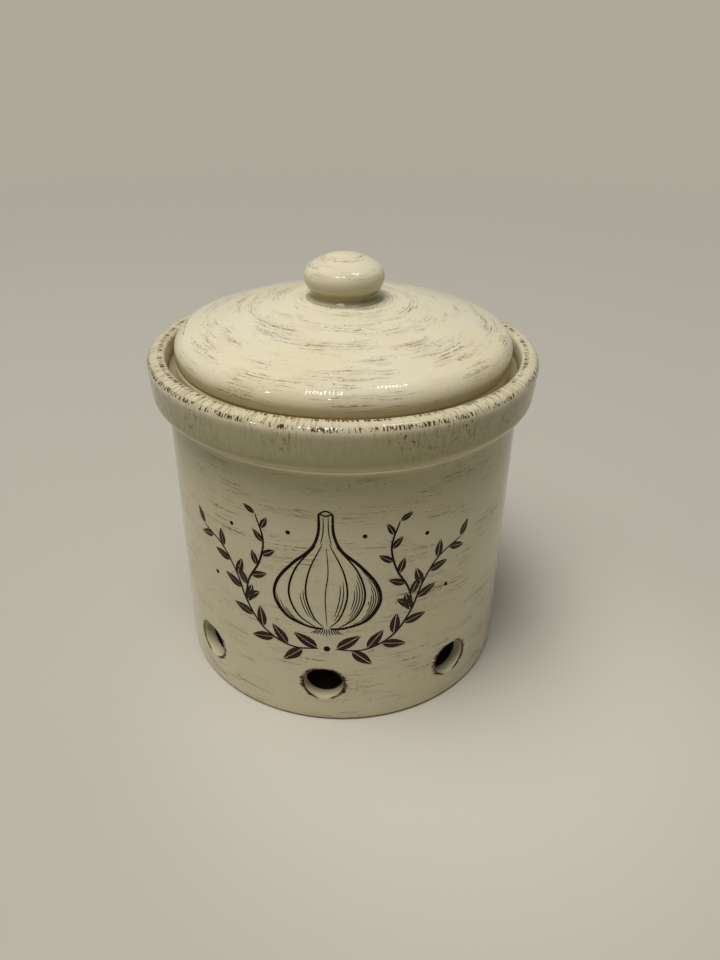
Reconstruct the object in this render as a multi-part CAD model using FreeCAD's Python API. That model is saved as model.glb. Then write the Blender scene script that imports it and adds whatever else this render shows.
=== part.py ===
import FreeCAD, Part
import math
import os

# Garlic keeper: a glazed ceramic crock with vent holes low in its wall, a domed lid that rests
# inside the collar, and a mushroom knob stuck to the lid.
#
# Frame: millimetres, +Z up, origin at the centre of the foot. The front is -Y, and one vent hole
# faces it. Every form but the vent holes is turned about Z, so its outline is drawn as
# (radius, height) pairs.

# ---- crock: outside
CROCK_HEIGHT = 123.9           # foot to the top of the rim
BODY_DIAMETER = 128.2          # straight wall
COLLAR_DIAMETER = 140.2        # widest, at the top of the collar
COLLAR_HEIGHT = 18.6           # rim down to the crease under the collar
COLLAR_TAPER = 1.0             # the collar's side leans in by this much towards its lower edge
COLLAR_UNDERCUT = 3.7          # the underside slopes up by this much on its way out from the crease
COLLAR_LOWER_ROUND = 6.4       # radius between the collar's side and its underside
RIM_OUTER_ROUND = 3.1
RIM_INNER_ROUND = 1.8
CREASE_ROUND = 0.7             # glaze in the crease between the collar and the wall
FOOT_ROUND = 1.2               # outer edge of the foot

# ---- crock: inside and underside
WALL = 4.5                     # thickness of the straight wall
FLOOR = 5.0                    # thickness of the floor
FLOOR_ROUND = 3.0              # floor to wall, inside
FOOT_RECESS = 1.0              # the middle of the underside stands this much off the table
FOOT_RING = 6.0                # width of the ring that the crock stands on
RECESS_DEPTH = 6.4             # rim down to the ledge that carries the lid
RIM_WIDTH = 6.6                # collar's outside to the mouth of the recess
RECESS_TAPER = 0.5             # the recess narrows by this much on its way down
LEDGE_WIDTH = 6.2
LEDGE_DEPTH = 4.0              # height of the ledge's inner edge
LEDGE_ROUND = 1.0              # inner edge of the ledge
THROAT_ROUND = 1.5             # lower edge of the throat
THROAT_SLOPE = 5.5             # height over which the ledge runs back into the wall below
BORE_ROUND = 4.0               # where that slope meets the wall

# ---- vent holes
VENT_COUNT = 8
VENT_DIAMETER = 13.7
VENT_HEIGHT = 18.0             # centre above the table
VENT_EDGE_ROUND = 0.7

# ---- lid
LID_PLAY = 2.7                 # gap all round between the lid's lip and the recess
LID_THICKNESS = 4.8
LIP_HEIGHT = 3.2               # plain band at the bottom of the lid
LIP_ROUND = 0.9
GROOVE_DEPTH = 0.9             # shallow groove above the lip
GROOVE_HEIGHT = 1.3
SIDE_HEIGHT = 7.2              # ledge up to where the shoulder starts to round
SHOULDER_ROUND = 6.8
DOME_RISE = 16.6               # start of the shoulder up to the crown
SEAT_WIDTH = 3.2               # width of the lid's underside that rests on the ledge

# ---- knob
KNOB_DIAMETER = 28.2
KNOB_HEIGHT = 15.3             # above its seat on the lid
KNOB_CROWN = 7.6               # height of the part above the widest line
KNOB_ROUND = 4.4               # radius of the crown's outer edge
NECK_DIAMETER = 22.6
NECK_HEIGHT = 0.8              # straight part of the neck above the foot's flare
NECK_ROUND = 1.5               # hollow between the neck and the belly
FOOT_FLARE = 1.2               # slip pressed out round the foot

# ---- levels and radii that follow from the sizes above
body_r = BODY_DIAMETER / 2
bore_r = body_r - WALL
collar_r = COLLAR_DIAMETER / 2
collar_z = CROCK_HEIGHT - COLLAR_HEIGHT
mouth_r = collar_r - RIM_WIDTH
recess_r = mouth_r - RECESS_TAPER
ledge_z = CROCK_HEIGHT - RECESS_DEPTH
throat_r = recess_r - LEDGE_WIDTH
foot_inner_r = body_r - FOOT_RING
floor_z = FOOT_RECESS + FLOOR
lip_r = recess_r - LID_PLAY
side_z = ledge_z + SIDE_HEIGHT
crown_z = side_z + DOME_RISE
neck_r = NECK_DIAMETER / 2
knob_foot_r = neck_r + FOOT_FLARE


def point(radius, height):
    return FreeCAD.Vector(radius, 0, height)


def line(start, end):
    return Part.LineSegment(start, end).toShape()


def arc(start, middle, end):
    return Part.Arc(start, middle, end).toShape()


def rounded_path(corners):
    """Edges through (radius, height, round) corners. The path is open, and its ends stay sharp."""
    points = [point(r, z) for r, z, _ in corners]
    edges = []
    start = points[0]
    for before, corner, after, (_, _, wanted) in zip(points, points[1:], points[2:], corners[1:]):
        towards_start = (before - corner).normalize()
        towards_end = (after - corner).normalize()
        half_angle = towards_start.getAngle(towards_end) / 2
        room = 0.48 * min((before - corner).Length, (after - corner).Length)
        radius = min(wanted, room * math.tan(half_angle))
        if radius <= 0 or half_angle > math.pi / 2 - 1e-6:
            edges.append(line(start, corner))
            start = corner
            continue
        setback = radius / math.tan(half_angle)
        inward = (towards_start + towards_end).normalize()
        nearest = corner + inward * (radius / math.sin(half_angle) - radius)
        first = corner + towards_start * setback
        last = corner + towards_end * setback
        edges.append(line(start, first))
        edges.append(arc(first, nearest, last))
        start = last
    edges.append(line(start, points[-1]))
    return edges


def turned(edges):
    """Turns a closed outline, whose ends lie on the axis, about Z."""
    face = Part.Face(Part.Wire(Part.__sortEdges__(edges)))
    return face.revolve(FreeCAD.Vector(0, 0, 0), FreeCAD.Vector(0, 0, 1), 360)


def crock_outline():
    collar_low_r = collar_r - COLLAR_TAPER
    edges = rounded_path([
        (0, FOOT_RECESS, 0),
        (foot_inner_r, FOOT_RECESS, FOOT_RECESS / 2),
        (foot_inner_r + FOOT_RECESS, 0, FOOT_RECESS / 2),
        (body_r, 0, FOOT_ROUND),
        (body_r, collar_z, CREASE_ROUND),
        (collar_low_r, collar_z + COLLAR_UNDERCUT, COLLAR_LOWER_ROUND),
        (collar_r, CROCK_HEIGHT, RIM_OUTER_ROUND),
        (mouth_r, CROCK_HEIGHT, RIM_INNER_ROUND),
        (recess_r, ledge_z, CREASE_ROUND),
        (throat_r, ledge_z, LEDGE_ROUND),
        (throat_r, ledge_z - LEDGE_DEPTH, THROAT_ROUND),
        (bore_r, ledge_z - LEDGE_DEPTH - THROAT_SLOPE, BORE_ROUND),
        (bore_r, floor_z, FLOOR_ROUND),
        (0, floor_z, 0),
    ])
    edges.append(line(point(0, floor_z), point(0, FOOT_RECESS)))
    return edges


def vent_cutter(index):
    """A round bar that runs outwards through the wall at one of the vent holes."""
    angle = 2 * math.pi * index / VENT_COUNT - math.pi / 2
    outwards = FreeCAD.Vector(math.cos(angle), math.sin(angle), 0)
    start = outwards * (bore_r / 2) + FreeCAD.Vector(0, 0, VENT_HEIGHT)
    return Part.makeCylinder(VENT_DIAMETER / 2, body_r, start, outwards)


def crock():
    body = turned(crock_outline())
    body = body.cut([vent_cutter(index) for index in range(VENT_COUNT)])
    return body.makeFillet(VENT_EDGE_ROUND, vent_edges(body))


def vent_edges(body):
    """The edges where the vent holes meet the inside and the outside of the wall."""
    vent_r = VENT_DIAMETER / 2
    found = []
    for edge in body.Edges:
        box = edge.BoundBox
        spans_hole = abs(box.ZMax - box.ZMin - VENT_DIAMETER) < 0.01 * VENT_DIAMETER
        if spans_hole and abs(box.Center.z - VENT_HEIGHT) < 0.1 * vent_r:
            found.append(edge)
    return found


def dome_arcs(side_r, side_z, round_r, top_z, inner_r):
    """The arcs of a dome and its shoulder, from inner_r out to the top of its upright side.

    The shoulder is tangent to the side, and the dome is tangent to the shoulder and level at its
    crown. The second result is the point where the dome starts.
    """
    centre_r = side_r - round_r
    rise = top_z - side_z
    dome_r = (rise ** 2 + centre_r ** 2 - round_r ** 2) / (2 * (rise - round_r))
    dome_centre_z = top_z - dome_r
    lean = math.atan2(side_z - dome_centre_z, centre_r)

    def on_dome(angle):
        return point(dome_r * math.cos(angle), dome_centre_z + dome_r * math.sin(angle))

    def on_shoulder(angle):
        return point(centre_r + round_r * math.cos(angle), side_z + round_r * math.sin(angle))

    start_angle = math.acos(inner_r / dome_r)
    dome = arc(on_dome(start_angle), on_dome((start_angle + lean) / 2), on_dome(lean))
    shoulder = arc(on_dome(lean), on_shoulder(lean / 2), on_shoulder(0))
    return [dome, shoulder], on_dome(start_angle)


def lid_top():
    """The lid's outer dome, and the point where it is cut flat to seat the knob."""
    return dome_arcs(lip_r, side_z, SHOULDER_ROUND, crown_z, knob_foot_r)


def lid():
    inside_r = lip_r - LID_THICKNESS
    inside_round = max(SHOULDER_ROUND - LID_THICKNESS, LIP_ROUND)
    outer, seat = lid_top()
    inner, under_crown = dome_arcs(inside_r, side_z, inside_round, crown_z - LID_THICKNESS, 0)
    lip_top = ledge_z + LIP_HEIGHT
    side = rounded_path([
        (lip_r, side_z, 0),
        (lip_r, lip_top + GROOVE_HEIGHT, LIP_ROUND),
        (lip_r - GROOVE_DEPTH, lip_top + GROOVE_HEIGHT / 2, LIP_ROUND),
        (lip_r, lip_top, LIP_ROUND),
        (lip_r, ledge_z, LIP_ROUND),
        (lip_r - SEAT_WIDTH, ledge_z, LIP_ROUND),
        (inside_r, ledge_z + LIP_HEIGHT, LIP_ROUND),
        (inside_r, side_z, 0),
    ])
    middle = line(under_crown, point(0, seat.z))
    flat = line(point(0, seat.z), seat)
    return turned(outer + side + inner + [middle, flat])


def knob():
    _, seat = lid_top()
    top_z = seat.z + KNOB_HEIGHT
    wide_r = KNOB_DIAMETER / 2
    wide_z = top_z - KNOB_CROWN
    neck_low_z = seat.z + FOOT_FLARE
    neck_top_z = neck_low_z + NECK_HEIGHT
    # The flare is a hollow quarter round from the seat up to the neck.
    diagonal = FOOT_FLARE * math.sin(math.pi / 4)
    flare = arc(seat, point(knob_foot_r - diagonal, neck_low_z - diagonal),
                point(neck_r, neck_low_z))
    neck = line(point(neck_r, neck_low_z), point(neck_r, neck_top_z))
    # The belly is an arc that leaves the neck and is upright at the widest line.
    drop = wide_z - neck_top_z
    swell = wide_r - neck_r
    belly_r = (drop ** 2 + swell ** 2) / (2 * swell)
    half_turn = math.asin(drop / belly_r) / 2
    belly_middle = point(wide_r - belly_r * (1 - math.cos(half_turn)),
                         wide_z - belly_r * math.sin(half_turn))
    belly = arc(point(neck_r, neck_top_z), belly_middle, point(wide_r, wide_z))
    crown, top = dome_arcs(wide_r, wide_z, KNOB_ROUND, top_z, 0)
    axis = line(top, point(0, seat.z))
    foot = line(point(0, seat.z), seat)
    body = turned([foot, flare, neck, belly, axis] + crown)
    corner = [edge for edge in body.Edges
              if edge.Closed and abs(edge.BoundBox.Center.z - neck_top_z) < 1e-6]
    return body.makeFillet(NECK_ROUND, corner)


os.makedirs("parts", exist_ok=True)
for name, build in (("crock", crock), ("lid", lid), ("knob", knob)):
    shape = build().Solids[0]
    shape.exportStep("parts/" + name + ".step")
    print(name, shape.isValid(), round(shape.Volume / 1000, 1), "cm3")
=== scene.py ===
# %% [markdown]
# # A garlic keeper in glazed ceramic
# A garlic keeper is a small crock that keeps bulbs dark and dry. Holes low in its wall let air in, and
# a domed lid rests on a ledge inside its thick collar.
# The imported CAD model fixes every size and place. This script loads it first, then makes the glazed
# surfaces, the print on the front and the light.

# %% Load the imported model
import math

import bmesh
import bpy
from mathutils import Matrix, Vector


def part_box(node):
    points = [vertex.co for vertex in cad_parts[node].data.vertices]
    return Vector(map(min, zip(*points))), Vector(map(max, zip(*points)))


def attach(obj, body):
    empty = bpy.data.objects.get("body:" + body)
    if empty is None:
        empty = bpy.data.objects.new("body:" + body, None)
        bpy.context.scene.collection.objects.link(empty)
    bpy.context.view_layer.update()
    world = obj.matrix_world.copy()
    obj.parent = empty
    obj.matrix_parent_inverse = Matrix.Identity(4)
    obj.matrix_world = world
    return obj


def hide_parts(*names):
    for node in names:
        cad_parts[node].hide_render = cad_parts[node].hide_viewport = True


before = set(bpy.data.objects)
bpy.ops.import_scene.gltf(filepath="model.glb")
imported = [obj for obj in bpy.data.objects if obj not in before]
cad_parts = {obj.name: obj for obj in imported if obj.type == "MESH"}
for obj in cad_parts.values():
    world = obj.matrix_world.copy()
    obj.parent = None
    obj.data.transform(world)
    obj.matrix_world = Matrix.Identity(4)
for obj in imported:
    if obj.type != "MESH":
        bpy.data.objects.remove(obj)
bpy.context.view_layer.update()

# %% [markdown]
# ## Sizes
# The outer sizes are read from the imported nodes, so they can't drift from the CAD model. Walls, rounds
# and ledges can't be read from a box, so they are named here, in millimetres.

# %% Sizes read from the frame
MM = 0.001


def highest(node):
    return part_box(node)[1].z / MM


def widest(node):
    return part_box(node)[1].x / MM


CROCK_TOP = highest("crock")
LID_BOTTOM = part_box("lid")[0].z / MM
LID_RADIUS = widest("lid")
KNOB_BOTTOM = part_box("knob")[0].z / MM
KNOB_TOP = highest("knob")
KNOB_RADIUS = widest("knob")
print("crock top %.1f, lid radius %.1f, knob top %.1f mm" % (CROCK_TOP, LID_RADIUS, KNOB_TOP))

# %% Sizes of the crock
BODY_RADIUS = 64.1
WALL = 4.5
BORE_RADIUS = BODY_RADIUS - WALL
COLLAR_RADIUS = 70.08
COLLAR_TAPER = 1.0
COLLAR_BOTTOM = CROCK_TOP - 18.6
COLLAR_UNDERCUT = 3.7
COLLAR_LOWER_ROUND = 6.4
RIM_OUTER_ROUND = 3.1
RIM_INNER_ROUND = 1.8
MOUTH_RADIUS = COLLAR_RADIUS - 6.6
RECESS_RADIUS = MOUTH_RADIUS - 0.5
LEDGE_HEIGHT = CROCK_TOP - 6.4
THROAT_RADIUS = RECESS_RADIUS - 6.2
THROAT_BOTTOM = LEDGE_HEIGHT - 4.0
BORE_TOP = THROAT_BOTTOM - 5.5
CREASE_ROUND = 0.7
FLOOR_HEIGHT = 6.0
FLOOR_ROUND = 3.0
FOOT_RECESS = 1.0
FOOT_WIDTH = 6.0
FOOT_ROUND = 1.2
GLAZE_LINE = 0.35

# %% Sizes of the vent holes
VENTS = 8
VENT_TURN = 2 * math.pi / VENTS
VENT_RADIUS = 6.85
VENT_HEIGHT = 18.0
VENT_ROUND = 0.7

# %% Sizes of the lid and the knob
LID_THICKNESS = 4.8
LIP_HEIGHT = 3.2
LIP_ROUND = 0.9
GROOVE_DEPTH = 0.9
GROOVE_HEIGHT = 1.3
LID_SIDE_TOP = LID_BOTTOM + 7.2
LID_CROWN = LID_SIDE_TOP + 16.6
SHOULDER_ROUND = 6.8
SEAT_WIDTH = 3.2
KNOB_CROWN = 7.6
KNOB_ROUND = 4.4
NECK_RADIUS = 11.3
NECK_HEIGHT = 0.8
FOOT_FLARE = 1.2
POOL_ROUND = 2.0
POOL_REACH = 13.5
print("vents", VENTS, "lid crown %.1f mm" % LID_CROWN)

# %% [markdown]
# ## Outlines
# Crock, lid and knob are turned forms, so each is one outline of (radius, height) points that goes
# round the axis. In a long list of points no round would have a true radius, so an outline is given
# as a few corners, each with the radius of its round.

# %% A path with rounded corners
ARC_STEP = 0.4
LINE_STEP = 4.0
CORNER_SHARE = 0.48


def steps(start, end, count):
    """Evenly spaced numbers or vectors from start to end, both included."""
    return [start + (end - start) * k / count for k in range(count + 1)]


def straight(start, end):
    """Points from start up to end, which is left out, at most one step apart."""
    return steps(start, end, max(1, math.ceil((end - start).length / LINE_STEP)))[:-1]


def arc(centre, radius, start, end):
    """Points on an arc between two angles, both included."""
    count = max(4, math.ceil(abs(end - start) * radius / ARC_STEP))
    return [(centre[0] + radius * math.cos(a), centre[1] + radius * math.sin(a))
            for a in steps(start, end, count)]


def rounded(corners):
    """Points along (radius, height, round) corners. The two ends stay sharp, and a round takes
    less than half of each side."""
    points = [Vector(corner[:2]) for corner in corners]
    path = []
    start = points[0]
    for before, corner, after, (_, _, wanted) in zip(points, points[1:], points[2:], corners[1:]):
        back = (before - corner).normalized()
        ahead = (after - corner).normalized()
        half = back.angle(ahead) / 2
        room = CORNER_SHARE * min((before - corner).length, (after - corner).length)
        radius = min(wanted, room * math.tan(half))
        if radius <= 0:
            path += straight(start, corner)
            start = corner
            continue
        reach = radius / math.tan(half)
        centre = corner + (back + ahead).normalized() * (radius / math.sin(half))
        first = corner + back * reach
        last = corner + ahead * reach
        swing = (first - centre).angle_signed(last - centre)
        from_angle = math.atan2(first.y - centre.y, first.x - centre.x)
        path += straight(start, first)
        path += arc(centre, radius, from_angle, from_angle - swing)[:-1]
        start = last
    path += straight(start, points[-1]) + points[-1:]
    return [(p[0], p[1]) for p in path]


print("a rounded corner of 2 mm has", len(rounded([(0, 0, 0), (9, 0, 2), (9, 9, 0)])), "points")

# %% [markdown]
# ## From outline to piece
# A turned form could be a Screw or Spin of its outline, but the crock also has eight holes in its
# wall, and a Boolean would leave long thin triangles that glaze shows as dents. So only one wedge is
# modelled, an eighth of the turn with a hole in its middle, in clean quads. Geometry Nodes then copy
# it round the axis and weld the seams.

# %% One wedge of a turned form
ON_AXIS = 1e-6
WELD_DISTANCE = 0.005


def wedge(outline, columns, windows=()):
    """An eighth of a turn, open at both sides. Cells inside a window (columns, rows) stay empty."""
    mesh = bmesh.new()
    grid = {}
    for row, (radius, height) in enumerate(outline):
        pole = mesh.verts.new((0, 0, height * MM)) if radius < ON_AXIS else None
        for column in range(columns + 1):
            angle = VENT_TURN * (column / columns - 0.5)
            place = (radius * MM * math.sin(angle), -radius * MM * math.cos(angle), height * MM)
            grid[column, row] = pole or mesh.verts.new(place)
    for column in range(columns):
        for row in range(len(outline) - 1):
            if any(column in across and row in up for across, up in windows):
                continue
            around = (grid[column, row], grid[column + 1, row], grid[column + 1, row + 1],
                      grid[column, row + 1])
            mesh.faces.new(list(dict.fromkeys(around)))
    for vertex in [v for v in mesh.verts if not v.link_faces]:
        mesh.verts.remove(vertex)
    return mesh, grid


def in_scene(name, data):
    """A new object that holds the data, at the origin."""
    piece = bpy.data.objects.new(name, data)
    bpy.context.scene.collection.objects.link(piece)
    return piece


def mesh_object(name, mesh):
    data = bpy.data.meshes.new(name)
    mesh.to_mesh(data)
    mesh.free()
    return in_scene(name, data)


# %% Copies round the axis, with Geometry Nodes
def pick(sockets, key):
    return sockets[int(key) if key.isdigit() else key]


def node_group(name, entries, kinds, sums, links):
    """A Geometry Nodes group from its inputs, its nodes, its Math nodes and its links, each of which
    is written as node.output > node.input."""
    tree = bpy.data.node_groups.new(name, "GeometryNodeTree")
    for label, kind in entries.items():
        tree.interface.new_socket(label, in_out="INPUT", socket_type="NodeSocket" + kind)
    tree.interface.new_socket("Result", in_out="OUTPUT", socket_type="NodeSocketGeometry")
    made = {"in": tree.nodes.new("NodeGroupInput"), "out": tree.nodes.new("NodeGroupOutput")}
    for key, kind in kinds.items():
        made[key] = tree.nodes.new(kind if "Node" in kind else "GeometryNode" + kind)
    for key, (operation, fixed) in sums.items():
        made[key] = tree.nodes.new("ShaderNodeMath")
        made[key].operation = operation
        for entry, value in fixed.items():
            made[key].inputs[entry].default_value = value
    for link in links.split(","):
        (source, output), (target, entry) = [end.strip().split(".") for end in link.split(">")]
        tree.links.new(pick(made[source].outputs, output), pick(made[target].inputs, entry))
    return tree


COPIER = node_group(
    "copies_round_the_axis",
    {"Wedge": "Geometry", "Copies": "Int", "Weld distance": "Float", "Finish": "Material"},
    {"points": "Points", "index": "InputIndex", "vector": "ShaderNodeCombineXYZ",
     "turn": "FunctionNodeEulerToRotation", "copy": "InstanceOnPoints", "real": "RealizeInstances",
     "weld": "MergeByDistance", "smooth": "SetShadeSmooth", "finish": "SetMaterial"},
    {"step": ("DIVIDE", {0: 2 * math.pi}), "angle": ("MULTIPLY", {})},
    """in.Copies > points.Count, in.Copies > step.1, index.0 > angle.0, step.0 > angle.1,
    angle.0 > vector.Z, vector.0 > turn.0, points.0 > copy.Points, in.Wedge > copy.Instance,
    turn.0 > copy.Rotation, copy.0 > real.0, real.0 > weld.0, in.Weld distance > weld.Distance,
    weld.0 > smooth.0, smooth.0 > finish.0, in.Finish > finish.Material, finish.0 > out.0""")


def run_nodes(source, tree, values, name):
    """Runs a node group on an object and returns the result as a plain mesh object."""
    modifier = source.modifiers.new("nodes", "NODES")
    modifier.node_group = tree
    for item in tree.interface.items_tree:
        if item.name in values:
            modifier[item.identifier] = values[item.name]
    source.update_tag()
    graph = bpy.context.evaluated_depsgraph_get()
    data = bpy.data.meshes.new_from_object(source.evaluated_get(graph), depsgraph=graph)
    bpy.data.objects.remove(source)
    data.name = name
    return in_scene(name, data)


def edges_left_open(piece):
    check = bmesh.new()
    check.from_mesh(piece.data)
    count = sum(1 for edge in check.edges if not edge.is_manifold)
    check.free()
    return count


def turned(name, mesh, finish):
    """The whole turned piece from its wedge."""
    values = {"Copies": VENTS, "Weld distance": WELD_DISTANCE * MM, "Finish": finish}
    piece = run_nodes(mesh_object(name + "_wedge", mesh), COPIER, values, name)
    print(name, len(piece.data.polygons), "faces, open edges:", edges_left_open(piece))
    return piece


# %% [markdown]
# ## Finishes written as formulas
# The brush strokes, the worn edges and the pooled glaze all depend on where a point is on the pot.
# Painted image textures would need unwrapping and would blur close up. Procedural nodes on Object
# coordinates stay sharp, and a small Field class lets a pattern be written as a formula, such as "near
# the rim, and speckled".

# %% Fields: numbers that vary over the surface
class Field:
    """A number at each point of a surface. A sum of Fields becomes Math nodes."""

    def __init__(self, recipe, socket):
        self.recipe = recipe
        self.socket = socket

    def __abs__(self):
        return self.recipe.math("ABSOLUTE", self)


for sign, kind in (("add", "ADD"), ("sub", "SUBTRACT"), ("mul", "MULTIPLY"), ("truediv", "DIVIDE"),
                   ("pow", "POWER")):
    setattr(Field, "__%s__" % sign, lambda self, other, kind=kind: self.recipe.math(kind, self, other))
    setattr(Field, "__r%s__" % sign, lambda self, other, kind=kind: self.recipe.math(kind, other, self))


class Nodes:
    """The nodes of one shader tree."""

    def __init__(self, tree):
        self.tree = tree

    def add(self, kind, *values, named=None, **settings):
        """A new node, with values for its first inputs in their order and for others by name."""
        node = self.tree.nodes.new(kind)
        for key, value in settings.items():
            setattr(node, key, value)
        for key, value in (*enumerate(values), *(named or {}).items()):
            self.put(node.inputs[key], value)
        return node

    def put(self, entry, value):
        if isinstance(value, Field):
            value = value.socket
        if isinstance(value, bpy.types.NodeSocket):
            self.tree.links.new(value, entry)
        else:
            entry.default_value = value

    def math(self, operation, *values):
        node = self.add("ShaderNodeMath", *values, operation=operation)
        return Field(self, node.outputs[0])

    def most(self, first, second):
        return self.math("MAXIMUM", first, second)


class Recipe(Nodes):
    """The nodes of one material, with the point's place on the pot in millimetres."""

    def __init__(self, name):
        self.material = bpy.data.materials.new(name)
        self.material.use_nodes = True
        super().__init__(self.material.node_tree)
        self.shader = self.tree.nodes["Principled BSDF"]
        place = self.add("ShaderNodeTexCoord").outputs["Object"]
        in_mm = self.add("ShaderNodeVectorMath", place, named={"Scale": 1 / MM}, operation="SCALE")
        parts = self.add("ShaderNodeSeparateXYZ", in_mm.outputs[0])
        self.x, self.y, self.z = (Field(self, output) for output in parts.outputs)
        self.radius = (self.x ** 2 + self.y ** 2) ** 0.5

    def rise(self, value, low, high):
        """0 below low, 1 above high, smooth between. With low above high it falls instead."""
        ends = (high, low, 1.0, 0.0) if low > high else (low, high, 0.0, 1.0)
        node = self.add("ShaderNodeMapRange", value, *ends, interpolation_type="SMOOTHSTEP")
        return Field(self, node.outputs[0])

    def noise(self, across, up, detail, seed, roughness=0.5, height=None, round_axis=None):
        """Noise with its frequencies per millimetre, sideways and along height. With round_axis, a
        radius, it doesn't change from the axis outwards, so its marks point at the axis."""
        height = height or self.z
        stretch = across * round_axis / self.radius if round_axis else across
        place = self.add("ShaderNodeCombineXYZ", self.x * stretch + seed, self.y * stretch - seed,
                         height * up + seed)
        look = {"Scale": 1.0, "Detail": detail, "Roughness": roughness}
        node = self.add("ShaderNodeTexNoise", place.outputs[0], named=look)
        return Field(self, node.outputs[0])

    def marks(self, across, up, detail, seed, low, high, **more):
        """Noise cut into marks: 0 where it is below low and 1 where it is above high."""
        return self.rise(self.noise(across, up, detail, seed, **more), low, high)

    def colour(self, share, first, second):
        """A mix of two colours, by share of the second."""
        ends = {6: first, 7: second}
        return self.add("ShaderNodeMix", share, named=ends, data_type="RGBA").outputs[2]

    def give(self, name, value):
        self.put(self.shader.inputs[name], value)

    def bump(self, height, depth):
        """Relief of the given depth in millimetres."""
        node = self.add("ShaderNodeBump", 1.0, depth * MM, named={"Height": height})
        self.give("Normal", node.outputs[0])


print("helpers for finishes are ready")

# %% [markdown]
# ## The ivory glaze
# The real finish is a warm ivory glaze. A decorator dragged a nearly dry brown brush round the pot on
# a wheel, so fine broken streaks run round the body and the lid. Image textures would show a seam, so
# noise makes them: a long fine one for the bristles and a coarse one for where the brush touched. The
# height that the streaks follow is radius minus z, which keeps changing both on walls and on domes.

# %% Colours of the glaze
IVORY = (0.80, 0.725, 0.525, 1)
CREAM = (0.79, 0.70, 0.46, 1)
TAN_WASH_AND_SHADE = (0.62, 0.55, 0.36, 1)
OLIVE_WASH_AND_SHADE = (0.42, 0.385, 0.21, 1)
DARK_OLIVE_AND_SHADE = (0.36, 0.31, 0.12, 1)
PAINTED_GAP_SHADE = (0.17, 0.135, 0.045, 1)
STREAK_BROWN = (0.19, 0.105, 0.038, 1)
WORN_BROWN = (0.042, 0.010, 0.001, 1)
POOLED_GLAZE = (0.66, 0.53, 0.23, 1)
INK = (0.030, 0.008, 0.003, 1)
GLAZE_INDEX = 1.52
RELIEF_DEPTH = 0.02


class Glaze(Recipe):
    """The glaze shared by crock, lid and knob. Layers are laid over the colour one by one."""

    def __init__(self, name):
        super().__init__(name)
        self.round_pot = self.radius - self.z
        self.tint = self.colour(self.marks(0.035, 0.035, 2, 3.0, 0.35, 0.65), IVORY, CREAM)
        self.relief = self.noise(0.12, 0.12, 1, 9.0)
        self.dull = 0.0
        self.give("IOR", GLAZE_INDEX)

    def lay(self, share, colour):
        """One more layer of colour over what is there. Where brown has worn in, the glaze is duller."""
        self.tint = self.colour(share, self.tint, colour)
        if colour in (WORN_BROWN, INK):
            self.dull = self.most(self.dull, share)

    def brushed(self, where, strength, seed, cover):
        """Dry-brushed streaks that run round the pot: patches of bristle lines, broken by the grain."""
        height = self.round_pot + self.noise(0.03, 0.03, 1, seed) * 3
        touched = self.noise(0.05, 0.14, 3, seed + 3, 0.6, height)
        patch = self.rise(touched, 0.57 - cover * 0.2, 0.74 - cover * 0.2)
        line = self.marks(0.05, 1.9, 2, seed + 5, 0.54, 0.61, roughness=0.55, height=height)
        fine = self.marks(0.12, 4.2, 2, seed + 9, 0.52, 0.64, height=height)
        grain = self.marks(0.6, 2.2, 3, seed + 11, 0.42, 0.54, roughness=0.6, height=height)
        wash = self.marks(0.05, 0.6, 3, seed + 17, 0.42, 0.70, height=height)
        self.lay(wash * patch * where * 0.45, TAN_WASH_AND_SHADE)
        streaks = patch * self.most(line, fine * 0.45) * (0.12 + grain * 0.88) * where
        self.lay(streaks * strength, STREAK_BROWN)
        dabs = self.marks(0.75, 1.3, 3, seed + 23, 0.655, 0.69, roughness=0.65, height=height)
        nearby = self.rise(touched, 0.50 - cover * 0.2, 0.64 - cover * 0.2)
        self.lay(dabs * nearby * where * strength, WORN_BROWN)
        self.relief = self.relief + streaks * 0.05

    def finish(self):
        """Joins the layers to the shader. Glaze is smooth, and a little duller where the brush ran."""
        self.give("Base Color", self.tint)
        smear = self.noise(0.12, 0.9, 2, 31.0, height=self.round_pot)
        self.give("Roughness", smear * 0.02 + 0.02)
        self.give("Specular IOR Level", 0.5 - self.dull * 0.35)
        self.bump(self.relief, RELIEF_DEPTH)
        return self.material


# %% Glaze of the crock
def crock_glaze():
    glaze = Glaze("ivory_glaze_crock")
    outside = glaze.rise(glaze.radius, BODY_RADIUS - 0.8, BODY_RADIUS - 0.3)
    on_wall = outside * glaze.rise(glaze.z, COLLAR_BOTTOM + 1, COLLAR_BOTTOM - 2)
    # The whole outer wall is laid with tan: partly the wall's own tan tone, partly painted shade of the
    # upright wall, which gets less of the overhead light.
    glaze.lay(on_wall * 0.55, TAN_WASH_AND_SHADE)
    # Painted shadow: the wall is laid darker with olive towards the collar, where the collar's overhang
    # shades it.
    shaded = glaze.rise(glaze.z, COLLAR_BOTTOM - 30, COLLAR_BOTTOM)
    glaze.lay(on_wall * shaded * 0.60, OLIVE_WASH_AND_SHADE)
    glaze.brushed(on_wall, 0.75, seed=40.0, cover=0.55)
    add_collar_marks(glaze)
    add_worn_rim(glaze)
    add_painted_inner_shade(glaze)
    add_vent_wear(glaze, outside)
    return glaze.finish()


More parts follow.
